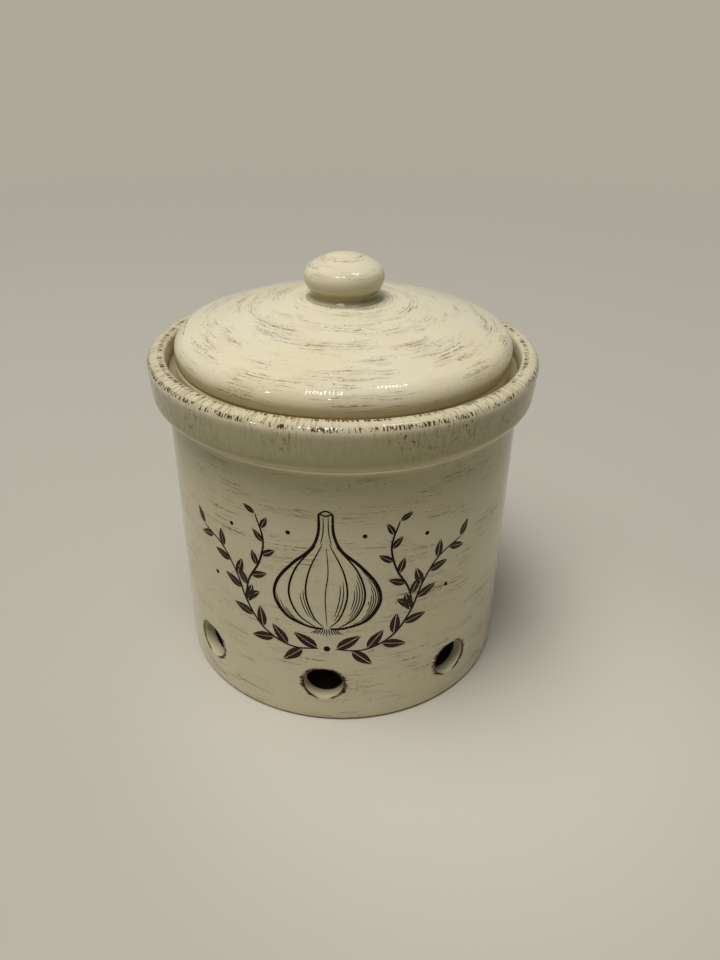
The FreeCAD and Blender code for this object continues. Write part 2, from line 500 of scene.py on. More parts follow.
def add_collar_marks(glaze):
    """Short upright brush marks on the collar's side, fine all over and darker in loose clusters."""
    side = glaze.rise(glaze.radius, COLLAR_RADIUS - 2.2, COLLAR_RADIUS - 1.2)
    low = glaze.rise(glaze.z, COLLAR_BOTTOM + 0.8, COLLAR_BOTTOM + 2.4)
    beyond_body = glaze.rise(glaze.radius, BODY_RADIUS + 0.6, BODY_RADIUS + 2)
    glaze.lay(beyond_body * low * glaze.rise(glaze.z, CROCK_TOP - 1, CROCK_TOP - 5) * 0.85, OLIVE_WASH_AND_SHADE)
    # Darker towards the collar's lower round, which faces down: partly olive glaze, partly painted shade.
    glaze.lay(side * low * glaze.rise(glaze.z, COLLAR_BOTTOM + 14, COLLAR_BOTTOM + 5) * 0.45, DARK_OLIVE_AND_SHADE)
    side = side * glaze.rise(glaze.z, COLLAR_BOTTOM + 2.0, COLLAR_BOTTOM + 7)
    high = glaze.rise(glaze.z, CROCK_TOP - 15, CROCK_TOP - 3)
    clusters = glaze.marks(0.06, 0.05, 2, 61.0, 0.46, 0.60)
    hairs = glaze.marks(1.5, 0.13, 3, 63.0, 0.48, 0.64, roughness=0.6)
    grain = glaze.marks(2.2, 1.4, 2, 67.0, 0.42, 0.56)
    strokes = hairs * (0.30 + grain * 0.70) * (0.35 + clusters * 0.65) * (0.35 + high * 0.65)
    glaze.lay(strokes * side * 0.70, STREAK_BROWN)
    dabs = glaze.marks(1.1, 0.60, 3, 71.0, 0.60, 0.65, roughness=0.6)
    glaze.lay(dabs * clusters * side * (0.3 + high * 0.7) * 0.90, WORN_BROWN)


def add_worn_rim(glaze):
    """Brown worn into the two top edges of the collar, as broken ticks across the edge. The flat top
    between them is laid darker with tan, as painted shade.
    """
    top = glaze.rise(glaze.z, CROCK_TOP - 3, CROCK_TOP - 1)
    top = top * glaze.rise(glaze.radius, MOUTH_RADIUS - 2, MOUTH_RADIUS)
    # Painted shade: the rim's flat top is laid darker with tan.
    glaze.lay(top * 0.60, TAN_WASH_AND_SHADE)
    pointing = {"height": glaze.round_pot, "round_axis": COLLAR_RADIUS}
    streaks = glaze.marks(1.1, 0.12, 3, 95.0, 0.49, 0.58, roughness=0.6, **pointing)
    left = glaze.rise(0 - glaze.x, 20, 60)
    often = glaze.most(glaze.marks(0.03, 0.03, 1, 97.0, 0.40, 0.60), left)
    glaze.lay(streaks * top * (0.20 + often * 0.55), STREAK_BROWN)
    edges = ((COLLAR_RADIUS - 0.8, CROCK_TOP - 1.2, 1.4, 0.95, 80.0),
             (MOUTH_RADIUS + 1.9, CROCK_TOP, 1.5, 0.90, 90.0))
    for radius, height, reach, share, seed in edges:
        away = ((glaze.radius - radius) ** 2 + (glaze.z - height) ** 2) ** 0.5
        band = glaze.rise(away, reach, reach * 0.3)
        ticks = glaze.noise(1.5, 0.30, 3, seed, 0.62, **pointing)
        patches = glaze.most(glaze.marks(0.10, 0.10, 2, seed + 3, 0.36, 0.58), left)
        needed = 0.67 - band * (0.10 + patches * 0.08)
        worn = glaze.rise(ticks - needed, 0.0, 0.03)
        glaze.lay(glaze.rise(away, reach + 1.6, 0.4) * (0.5 + patches * 0.5) * 0.75, TAN_WASH_AND_SHADE)
        glaze.lay(worn * band * share, WORN_BROWN)


def add_painted_inner_shade(glaze):
    """Painted shade: dark olive-brown on the lid's ledge, where the lid shades the gap, and inside the
    crock, which the closed lid keeps dark, full up to the vents and fading out above.
    """
    # Painted shade in the gap between the lid and the ledge.
    ledge = glaze.rise(glaze.z, LEDGE_HEIGHT + 5, LEDGE_HEIGHT + 1)
    ledge = ledge * glaze.rise(glaze.z, BORE_TOP, LEDGE_HEIGHT)
    glaze.lay(ledge * glaze.rise(glaze.radius, RECESS_RADIUS + 1, RECESS_RADIUS + 0.5) * 0.85, PAINTED_GAP_SHADE)
    # Painted shade inside the crock, darkest low down.
    inside = glaze.rise(glaze.radius, BORE_RADIUS + 0.6, BORE_RADIUS + 0.2)
    inside = inside * glaze.rise(glaze.z, FLOOR_HEIGHT - 1.5, FLOOR_HEIGHT - 0.5)
    glaze.lay(inside * glaze.rise(glaze.z, VENT_HEIGHT * 5, VENT_HEIGHT) * 0.95, PAINTED_GAP_SHADE)


def add_vent_wear(glaze, outside):
    """A ragged brown ring round each vent hole, drawn out sideways by the brush."""
    angle = glaze.math("ARCTAN2", glaze.x, 0 - glaze.y)
    across = glaze.math("WRAP", angle, VENT_TURN / 2, -VENT_TURN / 2) * BODY_RADIUS
    up = glaze.z - VENT_HEIGHT
    away = (across ** 2 + up ** 2) ** 0.5
    drag = glaze.noise(0.35, 1.8, 3, 101.0, 0.7) - 0.5
    sideways = glaze.rise(abs(across) - abs(up), -3.0, 4.0)
    ragged = away + drag * (1.3 + sideways * 4.5) - sideways * 0.55
    ring = glaze.rise(ragged, VENT_RADIUS + 1.25, VENT_RADIUS + 0.95)
    weak = glaze.marks(0.25, 0.25, 2, 107.0, 0.36, 0.56)
    lip = outside * glaze.rise(away, VENT_RADIUS + 0.1, VENT_RADIUS + 0.3)
    lip = lip * glaze.rise(away, VENT_RADIUS + 3.6, VENT_RADIUS + 3.0)
    glaze.lay(glaze.rise(away, VENT_RADIUS + 3.2, VENT_RADIUS) * outside * 0.35, TAN_WASH_AND_SHADE)
    at_sides = glaze.rise(abs(across), 1.2, 3.4)
    glaze.lay(ring * lip * at_sides * (0.75 + weak * 0.25), WORN_BROWN)
    tunnel = glaze.rise(glaze.radius, BORE_RADIUS, BORE_RADIUS + 1)
    glaze.lay(tunnel * glaze.rise(away, VENT_RADIUS + 0.5, VENT_RADIUS) * 0.50, OLIVE_WASH_AND_SHADE)


CROCK_GLAZE = crock_glaze()
print("crock glaze:", len(CROCK_GLAZE.node_tree.nodes), "nodes")

# %% [markdown]
# ## The crock
# The crock is slip cast in one piece: a thick wall, a collar, a ledge for the lid and eight vent
# holes. The wall's rows are laid out so that each hole sits in a square window of the grid. Rings of
# quads lead from the window's border over a rounded lip, through the tunnel and out inside.

# %% Outline of the crock
WEDGE_COLUMNS = 48
WINDOW_CELLS = 18
WINDOW_HALF = 8.75
WINDOW_LOW = VENT_HEIGHT - WINDOW_HALF
WINDOW_HIGH = VENT_HEIGHT + WINDOW_HALF
LIP_STEPS = 5
TUNNEL_STEPS = 4


def crock_outline():
    """The outline from the middle of the underside to the middle of the floor inside."""
    foot_inner = BODY_RADIUS - FOOT_WIDTH
    foot = rounded([(0, FOOT_RECESS, 0), (foot_inner, FOOT_RECESS, 0.5),
                    (foot_inner + FOOT_RECESS, GLAZE_LINE, 0.5), (BODY_RADIUS, GLAZE_LINE, FOOT_ROUND),
                    (BODY_RADIUS, WINDOW_LOW, 0)])
    top = rounded([(BODY_RADIUS, WINDOW_HIGH, 0), (BODY_RADIUS, COLLAR_BOTTOM, CREASE_ROUND),
                   (COLLAR_RADIUS - COLLAR_TAPER, COLLAR_BOTTOM + COLLAR_UNDERCUT, COLLAR_LOWER_ROUND),
                   (COLLAR_RADIUS, CROCK_TOP, RIM_OUTER_ROUND), (MOUTH_RADIUS, CROCK_TOP, RIM_INNER_ROUND),
                   (RECESS_RADIUS, LEDGE_HEIGHT, CREASE_ROUND), (THROAT_RADIUS, LEDGE_HEIGHT, 1.0),
                   (THROAT_RADIUS, THROAT_BOTTOM, 1.5), (BORE_RADIUS, BORE_TOP, 4.0),
                   (BORE_RADIUS, WINDOW_HIGH, 0)])
    floor = rounded([(BORE_RADIUS, WINDOW_LOW, 0), (BORE_RADIUS, FLOOR_HEIGHT, FLOOR_ROUND),
                     (0, FLOOR_HEIGHT, 0)])
    outer = [(BODY_RADIUS, height) for height in steps(WINDOW_LOW, WINDOW_HIGH, WINDOW_CELLS)]
    inner = [(BORE_RADIUS, height) for height in steps(WINDOW_HIGH, WINDOW_LOW, WINDOW_CELLS)]
    outer_row = len(foot) - 1
    inner_row = outer_row + WINDOW_CELLS + len(top) - 1
    return foot + outer[1:-1] + top + inner[1:-1] + floor, outer_row, inner_row


outline, outer_row, inner_row = crock_outline()
print("crock outline:", len(outline), "points")


# %% A vent hole in the wedge
def border(grid, first_column, low_row, high_row):
    """The grid's vertices round a window, anticlockwise as seen from outside."""
    step = 1 if high_row > low_row else -1
    cells = range(WINDOW_CELLS)
    last_column = first_column + WINDOW_CELLS
    bottom = [grid[first_column + k, low_row] for k in cells]
    right = [grid[last_column, low_row + step * k] for k in cells]
    top = [grid[last_column - k, high_row] for k in cells]
    left = [grid[first_column, high_row - step * k] for k in cells]
    return bottom + right + top + left


def on_wall(radius, across, up, inwards=0.0):
    """A point on the wall in front of the axis, or a little towards the axis from it."""
    depth = math.sqrt(radius ** 2 - across ** 2) - inwards
    return Vector((across, -depth, VENT_HEIGHT + up)) * MM


def ring_of(count, place):
    """A ring of points, starting at the lower left corner of the window."""
    angles = [math.pi * (2 * k / count - 0.75) for k in range(count)]
    return [place(math.cos(angle), math.sin(angle)) for angle in angles]


def lip_rings(count, wall_radius, side):
    """Rings over the rounded lip of a hole, from the wall to the tunnel."""
    rings = []
    for bend in steps(0, math.pi / 2, LIP_STEPS):
        reach = VENT_RADIUS + VENT_ROUND * (1 - math.sin(bend))
        sink = side * VENT_ROUND * (1 - math.cos(bend))
        rings.append(ring_of(count, lambda c, s: on_wall(wall_radius, reach * c, reach * s, sink)))
    return rings


def cut_vent(mesh, outer_border, inner_border):
    """Joins the two windows of a wedge by a round hole with rounded lips."""
    count = len(outer_border)
    outer_lip = lip_rings(count, BODY_RADIUS, 1)
    inner_lip = lip_rings(count, BORE_RADIUS, -1)[::-1]
    ends = list(zip(outer_lip[-1], inner_lip[0]))
    tunnel = [[a.lerp(b, share) for a, b in ends] for share in steps(0, 1, TUNNEL_STEPS)[1:-1]]
    places = [halfway(outer_border, outer_lip[0], BODY_RADIUS)] + outer_lip + tunnel + inner_lip
    places += [halfway(inner_border, inner_lip[-1], BORE_RADIUS)]
    rings = [outer_border] + [[mesh.verts.new(p) for p in ring] for ring in places] + [inner_border]
    for near, far in zip(rings, rings[1:]):
        for k in range(count):
            after = (k + 1) % count
            mesh.faces.new((near[k], near[after], far[after], far[k]))


def halfway(border_ring, lip_ring, wall_radius):
    """A ring on the wall, midway between a window's border and the hole's lip."""
    middle = [(vertex.co + lip) / 2 / MM for vertex, lip in zip(border_ring, lip_ring)]
    return [on_wall(wall_radius, p.x, p.z - VENT_HEIGHT) for p in middle]


# %% Make the crock
first = (WEDGE_COLUMNS - WINDOW_CELLS) // 2
window_columns = range(first, first + WINDOW_CELLS)
windows = [(window_columns, range(outer_row, outer_row + WINDOW_CELLS)),
           (window_columns, range(inner_row, inner_row + WINDOW_CELLS))]
mesh, grid = wedge(outline, WEDGE_COLUMNS, windows)
cut_vent(mesh, border(grid, first, outer_row, outer_row + WINDOW_CELLS),
         border(grid, first, inner_row + WINDOW_CELLS, inner_row))
crock = turned("glazed_crock", mesh, CROCK_GLAZE)
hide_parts("crock")
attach(crock, "crock")

# %% [markdown]
# ## The lid
# The lid is a hollow dome with a lip that sits on the ledge. Its outline is a large arc for the dome,
# tangent to a small arc for the shoulder, and the same again inside. The brush ran round it on the
# wheel too, so its streaks are rings. Glaze ran down and pooled yellow above the lip.

# %% Glaze of the lid
def lid_glaze():
    glaze = Glaze("ivory_glaze_lid")
    outside = glaze.rise(glaze.z, LID_BOTTOM + LIP_HEIGHT, LID_SIDE_TOP + 2)
    glaze.brushed(outside, 0.92, seed=140.0, cover=0.60)
    clusters = glaze.marks(0.07, 0.07, 2, 151.0, 0.48, 0.64)
    flecks = glaze.marks(0.8, 0.8, 1, 157.0, 0.70, 0.76)
    glaze.lay(flecks * clusters * outside * 0.60, WORN_BROWN)
    pooled = glaze.rise(glaze.z, LID_SIDE_TOP + 4.5, LID_BOTTOM + LIP_HEIGHT)
    glaze.lay(pooled * 0.70, POOLED_GLAZE)
    return glaze.finish()


# %% Outline of the lid
def dome(side_radius, side_height, shoulder, crown, inner_radius):
    """A shoulder and a dome tangent to it, from the upright side to inner_radius below the crown."""
    centre = side_radius - shoulder
    rise = crown - side_height
    dome_radius = (rise ** 2 + centre ** 2 - shoulder ** 2) / (2 * (rise - shoulder))
    low = crown - dome_radius
    lean = math.atan2(side_height - low, centre)
    end = math.acos(inner_radius / dome_radius)
    shoulder_arc = arc((centre, side_height), shoulder, 0, lean)
    count = max(8, math.ceil((end - lean) * dome_radius / LINE_STEP))
    return shoulder_arc + [(dome_radius * math.cos(a), low + dome_radius * math.sin(a))
                           for a in steps(lean, end, count)[1:]]


def lid_outline():
    """From the middle of the hollow, over the seat and the side, to the flat under the knob."""
    inside = LID_RADIUS - LID_THICKNESS
    inner_shoulder = max(SHOULDER_ROUND - LID_THICKNESS, LIP_ROUND)
    hollow = dome(inside, LID_SIDE_TOP, inner_shoulder, LID_CROWN - LID_THICKNESS, 0)[::-1]
    lip_top = LID_BOTTOM + LIP_HEIGHT
    side = rounded([(inside, LID_SIDE_TOP, 0), (inside, lip_top, LIP_ROUND),
                    (LID_RADIUS - SEAT_WIDTH, LID_BOTTOM, LIP_ROUND), (LID_RADIUS, LID_BOTTOM, LIP_ROUND),
                    (LID_RADIUS, lip_top, LIP_ROUND),
                    (LID_RADIUS - GROOVE_DEPTH, lip_top + GROOVE_HEIGHT / 2, LIP_ROUND),
                    (LID_RADIUS, lip_top + GROOVE_HEIGHT, LIP_ROUND), (LID_RADIUS, LID_SIDE_TOP, 0)])
    top = dome(LID_RADIUS, LID_SIDE_TOP, SHOULDER_ROUND, LID_CROWN, NECK_RADIUS + FOOT_FLARE)
    return hollow + side[1:-1] + top + [(0, KNOB_BOTTOM)]


# %% Make the lid
lid = turned("glazed_lid", wedge(lid_outline(), WEDGE_COLUMNS)[0], lid_glaze())
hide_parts("lid")
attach(lid, "lid")

# %% [markdown]
# ## The knob
# The mushroom knob is thrown apart and stuck to the lid with slip. Glaze pools in the groove round its
# foot, so the turned outline ends in one hollow round there. It rides on the lid's body.

# %% Glaze of the knob
def knob_glaze():
    glaze = Glaze("ivory_glaze_knob")
    crown = glaze.rise(glaze.z, KNOB_TOP - KNOB_CROWN, KNOB_TOP - KNOB_CROWN + 3)
    glaze.brushed(crown, 0.75, seed=240.0, cover=0.6)
    # The belly's underside and the neck are laid darker with olive: partly olive glaze, partly painted
    # shade under the knob's overhang.
    under = glaze.rise(glaze.z, KNOB_TOP - KNOB_CROWN + 1, KNOB_BOTTOM + 4.5)
    glaze.lay(under * 0.75, OLIVE_WASH_AND_SHADE)
    neck = glaze.rise(glaze.z, KNOB_BOTTOM + 4.6, KNOB_BOTTOM + 3.4)
    glaze.lay(neck * glaze.rise(glaze.z, KNOB_BOTTOM + 0.4, KNOB_BOTTOM + 1.2) * 0.80, DARK_OLIVE_AND_SHADE)
    return glaze.finish()


# %% Outline of the knob
def knob_outline():
    """From the middle of its flat foot to the middle of its crown."""
    wide = KNOB_TOP - KNOB_CROWN
    drop = wide - KNOB_BOTTOM - FOOT_FLARE - NECK_HEIGHT
    swell = KNOB_RADIUS - NECK_RADIUS
    belly_radius = (drop ** 2 + swell ** 2) / (2 * swell)
    belly_middle = KNOB_RADIUS - belly_radius
    lean = math.asin((wide - KNOB_BOTTOM - POOL_ROUND) / (belly_radius + POOL_ROUND))
    pool_middle = belly_middle + (belly_radius + POOL_ROUND) * math.cos(lean)
    start = math.pi + math.acos((pool_middle - POOL_REACH) / POOL_ROUND)
    pool = arc((pool_middle, KNOB_BOTTOM + POOL_ROUND), POOL_ROUND, start, math.pi - lean)
    belly = arc((belly_middle, wide), belly_radius, -lean, 0)
    crown = dome(KNOB_RADIUS, wide, KNOB_ROUND, KNOB_TOP, 0)
    return [(0, KNOB_BOTTOM), (POOL_REACH, KNOB_BOTTOM)] + pool[:-1] + belly + crown[1:]


# %% Make the knob
knob = turned("glazed_knob", wedge(knob_outline(), WEDGE_COLUMNS // 2)[0], knob_glaze())
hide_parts("knob")
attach(knob, "lid")

# %% [markdown]
# ## The bare foot
# A pot can't be fired standing on wet glaze, so the potter wipes its foot ring down to the clay. The
# ring is a narrow closed turning that shows just under the glazed edge.

# %% Make the foot
PALE_CLAY = (0.78, 0.72, 0.62, 1)
BUFF_CLAY = (0.66, 0.58, 0.47, 1)


def clay_finish():
    recipe = Recipe("bare_clay_foot")
    speckle = recipe.noise(1.2, 1.2, 3, 5.0)
    recipe.give("Base Color", recipe.colour(recipe.rise(speckle, 0.35, 0.65), PALE_CLAY, BUFF_CLAY))
    recipe.give("Roughness", speckle * 0.2 + 0.75)
    recipe.bump(speckle, 0.06)
    return recipe.material


def foot_outline():
    """A closed ring that fills the underside between the recess and the glazed edge."""
    inner = BODY_RADIUS - FOOT_WIDTH + FOOT_RECESS
    outer = BODY_RADIUS - FOOT_ROUND * 0.5
    ring = rounded([(inner + 1, GLAZE_LINE + 1, 0), (inner, GLAZE_LINE, 0.2), (inner + 0.3, 0, 0.3),
                    (outer - 0.5, 0, 0.3), (outer, GLAZE_LINE, 0.2), (outer - 1, GLAZE_LINE + 1, 0)])
    return ring + [ring[0]]


foot = turned("bare_foot", wedge(foot_outline(), WEDGE_COLUMNS)[0], clay_finish())
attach(foot, "crock")

# %% [markdown]
# ## The print on the front
# The real pot has a dark-brown transfer fired into its glaze. A picture texture would blur close up, so
# the print is drawn as a pen would draw it, in thin flat strokes: a garlic bulb between two leafy
# sprays. It is laid out flat, in millimetres sideways and up from its middle, then wrapped on the wall.

# %% A pen for flat drawings
PRINT_HEIGHT = 63.3
PRINT_TURN = math.radians(1.2)
PRINT_LIFT = 0.03
PRINT_SINK = 0.06
LIFT_STEP = 0.002
LIFT_STEPS = 9
DOT_CORNERS = 14
CURVE_STEPS = 7


def through(points):
    """A smooth line through the points, by Catmull and Rom's rule."""
    knots = [Vector(point) for point in points]
    knots = [knots[0] * 2 - knots[1]] + knots + [knots[-1] * 2 - knots[-2]]
    line = []
    for a, b, c, d in zip(knots, knots[1:], knots[2:], knots[3:]):
        for t in steps(0, 1, CURVE_STEPS)[:-1]:
            line.append((b * 2 + (c - a) * t + (a * 2 - b * 5 + c * 4 - d) * t ** 2
                         + (b * 3 - a - c * 3 + d) * t ** 3) / 2)
    return line + [knots[-2]]


def mirrored(points):
    return [(-across, up) for across, up in points]


class Drawing:
    """Flat strokes in front of the wall. Each lies a hair above the last, so none flicker."""

    def __init__(self):
        self.mesh = bmesh.new()
        self.strokes = 0

    def corner(self, place):
        lift = PRINT_LIFT + LIFT_STEP * (self.strokes % LIFT_STEPS)
        return self.mesh.verts.new((place[0], -lift, place[1]))

    def strip(self, left, right):
        """A band of quads between two lines."""
        self.strokes += 1
        rows = [[self.corner(place) for place in line] for line in (left, right)]
        for k in range(len(left) - 1):
            self.mesh.faces.new((rows[0][k], rows[0][k + 1], rows[1][k + 1], rows[1][k]))

    def pen(self, points, width, tip=0.3):
        """One stroke, full in its middle and thin at both ends."""
        line = through(points)
        last = len(line) - 1
        left, right = [], []
        for k, here in enumerate(line):
            along = (line[min(k + 1, last)] - line[max(k - 1, 0)]).normalized()
            swell = tip + (1 - tip) * math.sin(math.pi * k / last) ** 0.5
            side = along.orthogonal() * width * swell / 2
            left.append(here + side)
            right.append(here - side)
        self.strip(left, right)

    def dot(self, across, up, radius):
        self.strokes += 1
        angles = [2 * math.pi * k / DOT_CORNERS for k in range(DOT_CORNERS)]
        rim = [(across + radius * math.cos(a), up + radius * math.sin(a)) for a in angles]
        self.mesh.faces.new([self.corner(place) for place in rim])


print("a smooth line through 3 points has", len(through([(0, 0), (5, 2), (9, 0)])), "points")

# %% [markdown]
# ## The garlic bulb
# Engravers draw a bulb with a swelling outline, thinner lines between the cloves and short hatching on
# the shaded side. Each stroke of the hatching blends the two lines beside it, so it follows the form.

# %% Draw the bulb
OUTLINE = ((2.2, 27.5), (2.5, 20.0), (5.0, 13.6), (11.2, 7.2), (16.9, -0.8), (18.2, -8.4),
           (14.2, -15.4), (6.6, -18.8), (1.2, -19.4))
OUTER_CLOVE = ((3.4, 15.0), (10.2, 5.4), (13.0, -5.2), (10.0, -14.0), (4.0, -18.9))
INNER_CLOVE = ((1.1, 16.0), (5.7, 4.9), (7.0, -5.2), (4.5, -14.4), (0.9, -18.9))


def at(line, share):
    """The point at a share of a line's length."""
    place = share * (len(line) - 1)
    k = min(int(place), len(line) - 2)
    return line[k].lerp(line[k + 1], place - k)


def hatch(drawing, first, second, shares, start, end, width=0.4):
    """Strokes between two lines, shorter the nearer they are to the second."""
    lines = (through(first), through(second))
    for k, share in enumerate(shares):
        along = steps(start + 0.05 * k, end - 0.07 * k, 4)
        drawing.pen([at(lines[0], t).lerp(at(lines[1], t), share) for t in along], width)


def draw_bulb(drawing):
    for line, width, tip in ((OUTLINE, 1.15, 0.6), (OUTER_CLOVE, 0.75, 0.3), (INNER_CLOVE, 0.65, 0.3)):
        drawing.pen(line, width, tip)
        drawing.pen(mirrored(line), width, tip)
    drawing.pen(((0.1, 15.0), (0.6, 4.5), (-0.4, -5.5), (0.1, -18.4)), 0.4)
    for bend in (28.5, 26.7):
        drawing.pen(((-2.2, 27.5), (0, bend), (2.2, 27.5)), 0.6, tip=0.7)
    for side in (-1, 1):
        drawing.pen(((side * 0.8, 26.2), (side * 0.9, 20.6), (side * 1.8, 15.6)), 0.4)
    for k in range(11):
        lean = (k - 5) / 5
        drawing.pen(((lean * 3.4, -19.3), (lean * 4.2, -20.8), (lean * 5.8, -22.6 + abs(lean))), 0.42)
    hatch(drawing, OUTLINE, OUTER_CLOVE, (0.14, 0.28, 0.42, 0.56, 0.70), 0.38, 0.90)
    hatch(drawing, OUTER_CLOVE, INNER_CLOVE, (0.15, 0.30, 0.45, 0.60), 0.28, 0.86)
    hatch(drawing, INNER_CLOVE, ((0, 15), (0, -18)), (0.18, 0.34), 0.35, 0.85)
    hatch(drawing, mirrored(OUTLINE), mirrored(OUTER_CLOVE), (0.14, 0.30, 0.46), 0.58, 0.92)
    hatch(drawing, mirrored(INNER_CLOVE), mirrored(OUTER_CLOVE), (0.16, 0.34), 0.45, 0.85)


drawing = Drawing()
draw_bulb(drawing)
print("bulb:", drawing.strokes, "strokes")

# %% [markdown]
# ## Two leafy sprays
# Each spray has a long stem that sweeps outwards and a twig that rises beside the bulb. One leaf
# repeats along them, so Geometry Nodes place it: a stem becomes a curve with evenly spaced points, and
# the leaf on each turns to one side or the other, by its number. The leaf is drawn once, as two half
# blades with a bare midrib between them.

# %% A leaf and the sprig's nodes
STEM = ((3.0, -28.5), (13.0, -29.0), (23.0, -24.0), (29.5, -14.5), (33.5, -3.5), (39.5, 5.5),
        (48.5, 10.0))
TWIG = ((30.2, -12.8), (28.0, -4.0), (23.5, 4.5), (21.5, 14.0), (24.0, 23.5))
STEM_LEAVES = 13
TWIG_LEAVES = 8
STEM_LEAF_LENGTH = 10.4
TWIG_LEAF_LENGTH = 7.6
LAST_LEAF = 0.62
LEAF_SPREAD = 0.72
LEAF_LIFT = PRINT_LIFT + 0.01
LEAF_STEPS = 8
LEAF_WIDTH = 0.19
LEAF_TIP = 0.04
LEAF_STALK = 0.06
MIDRIB = 0.016
DOTS = ((0, -28.4, 1.2), (12.5, 19.0, 0.8), (34.0, 16.5, 0.8), (43.5, -8.0, 0.8))


def leaf():
    """A leaf of unit length along X, in the plane of the drawing."""
    blade = Drawing()
    for side in (-1, 1):
        reach = [math.sin(math.pi * share ** 0.8) ** 0.9 if 0 < share < 1 else LEAF_TIP
                 for share in steps(0, 1, LEAF_STEPS)]
        rib = [(x, side * MIDRIB) for x in steps(LEAF_STALK, 1, LEAF_STEPS)]
        rim = [(x, side * (MIDRIB + LEAF_WIDTH * width)) for (x, _), width in zip(rib, reach)]
        blade.strip(rib, rim)
    for vertex in blade.mesh.verts:
        vertex.co.y = 0
    return mesh_object("leaf", blade.mesh)


SPRIG = node_group(
    "leaves_along_a_stem",
    {"Stem": "Geometry", "Leaf": "Object", "Leaves": "Int", "Spread": "Float", "First length": "Float",
     "Last length": "Float", "Lift": "Float", "Finish": "Material"},
    {"curve": "MeshToCurve", "even": "ResampleCurve", "index": "InputIndex", "tangent": "InputTangent",
     "parts": "ShaderNodeSeparateXYZ", "vector": "ShaderNodeCombineXYZ",
     "rotate": "FunctionNodeEulerToRotation", "length": "ShaderNodeMapRange", "leaf": "ObjectInfo",
     "lift": "ShaderNodeCombineXYZ", "raise": "SetPosition", "place": "InstanceOnPoints",
     "real": "RealizeInstances", "finish": "SetMaterial"},
    {"along": ("ARCTAN2", {}), "odd": ("MODULO", {1: 2.0}), "side": ("MULTIPLY_ADD", {1: -2.0, 2: 1.0}),
     "turn": ("MULTIPLY_ADD", {}), "back": ("MULTIPLY", {1: -1.0}), "share": ("DIVIDE", {})},
    """in.Stem > curve.0, curve.0 > even.Curve, in.Leaves > even.Count, tangent.0 > parts.0,
    parts.Z > along.0, parts.X > along.1, index.0 > odd.0, odd.0 > side.0, side.0 > turn.0,
    in.Spread > turn.1, along.0 > turn.2, turn.0 > back.0, back.0 > vector.1, vector.0 > rotate.0,
    index.0 > share.0, in.Leaves > share.1, share.0 > length.Value, in.First length > length.3,
    in.Last length > length.4, in.Leaf > leaf.Object, in.Lift > lift.1, even.0 > raise.0,
    lift.0 > raise.Offset, raise.0 > place.Points, leaf.Geometry > place.Instance,
    rotate.0 > place.Rotation, length.0 > place.Scale, place.0 > real.0, real.0 > finish.0,
    in.Finish > finish.Material, finish.0 > out.0""")
print("sprig nodes:", len(SPRIG.nodes))


# %% The ink
def ink_finish():
    """Dark-brown ink under the glaze, worn through to ivory in fine specks."""
    ink = Glaze("brown_transfer_ink")
    ink.lay(1.0, INK)
    worn = ink.marks(1.3, 2.2, 3, 301.0, 0.62, 0.68, roughness=0.7)
    rubbed = ink.marks(0.07, 0.07, 2, 307.0, 0.45, 0.65)
    ink.lay(worn * (0.04 + rubbed * 0.35), IVORY)
    return ink.finish()


# %% Draw the sprigs and wrap the print
def sprig(points, leaves, length, spread, leaf_object, finish):
    """The leaves of one stem, as a plain mesh object in the plane of the drawing."""
    line = through(points)
    data = bpy.data.meshes.new("stem")
    data.from_pydata([(p.x, 0, p.y) for p in line], [(k, k + 1) for k in range(len(line) - 1)], [])
    values = {"Leaf": leaf_object, "Leaves": leaves, "Spread": spread, "First length": length,
              "Last length": length * LAST_LEAF, "Lift": -LEAF_LIFT, "Finish": finish}
    return run_nodes(in_scene("stem", data), SPRIG, values, "sprig")


def wrapped(vertex):
    """A point of the flat drawing, in millimetres, on the wall."""
    angle = PRINT_TURN + vertex.co.x / BODY_RADIUS
    radius = BODY_RADIUS - vertex.co.y
    return Vector((radius * math.sin(angle), -radius * math.cos(angle), PRINT_HEIGHT + vertex.co.z)) * MM


def print_on_front():
    leaf_object = leaf()
    finish = ink_finish()
    stems = ((STEM, STEM_LEAVES, STEM_LEAF_LENGTH), (TWIG, TWIG_LEAVES, TWIG_LEAF_LENGTH))
    for right_side, count, length in stems:
        for points, spread in ((right_side, LEAF_SPREAD), (mirrored(right_side), -LEAF_SPREAD)):
            drawing.pen(points, 0.8, tip=0.5)
            leaves = sprig(points, count, length, spread, leaf_object, finish)
            drawing.mesh.from_mesh(leaves.data)
            bpy.data.objects.remove(leaves)
    bpy.data.objects.remove(leaf_object)
    for across, up, radius in DOTS:
        for side in (1, -1) if across else (1,):
            drawing.dot(side * across, up, radius)
    bmesh.ops.solidify(drawing.mesh, geom=drawing.mesh.faces[:], thickness=PRINT_SINK)
    bmesh.ops.recalc_face_normals(drawing.mesh, faces=drawing.mesh.faces[:])
    for vertex in drawing.mesh.verts:
        vertex.co = wrapped(vertex)
    piece = mesh_object("garlic_print", drawing.mesh)
    piece.data.materials.clear()
    piece.data.materials.append(finish)
    return piece


front_print = print_on_front()
print("print:", len(front_print.data.polygons), "faces, open edges:", edges_left_open(front_print))
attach(front_print, "crock")

# %% [markdown]
# ## The studio
# A plain pale floor and plain soft light, mostly from above, at a level where a colour comes out as it
# is written. Two rows of narrow lamps hang above the lid, and two small lamps stand in front and at the
# side. They add no light to the pot's colours, but glaze mirrors them as the crisp highlights that make
# it read as wet and hard.

# %% Floor
FLOOR_COLOUR = (0.51, 0.478, 0.402, 1)
FLOOR_PAINTED_LIGHT = (0.60, 0.562, 0.473, 1)
BACKDROP = (0.42, 0.393, 0.325, 1)
FLOOR_REACH = 40.0


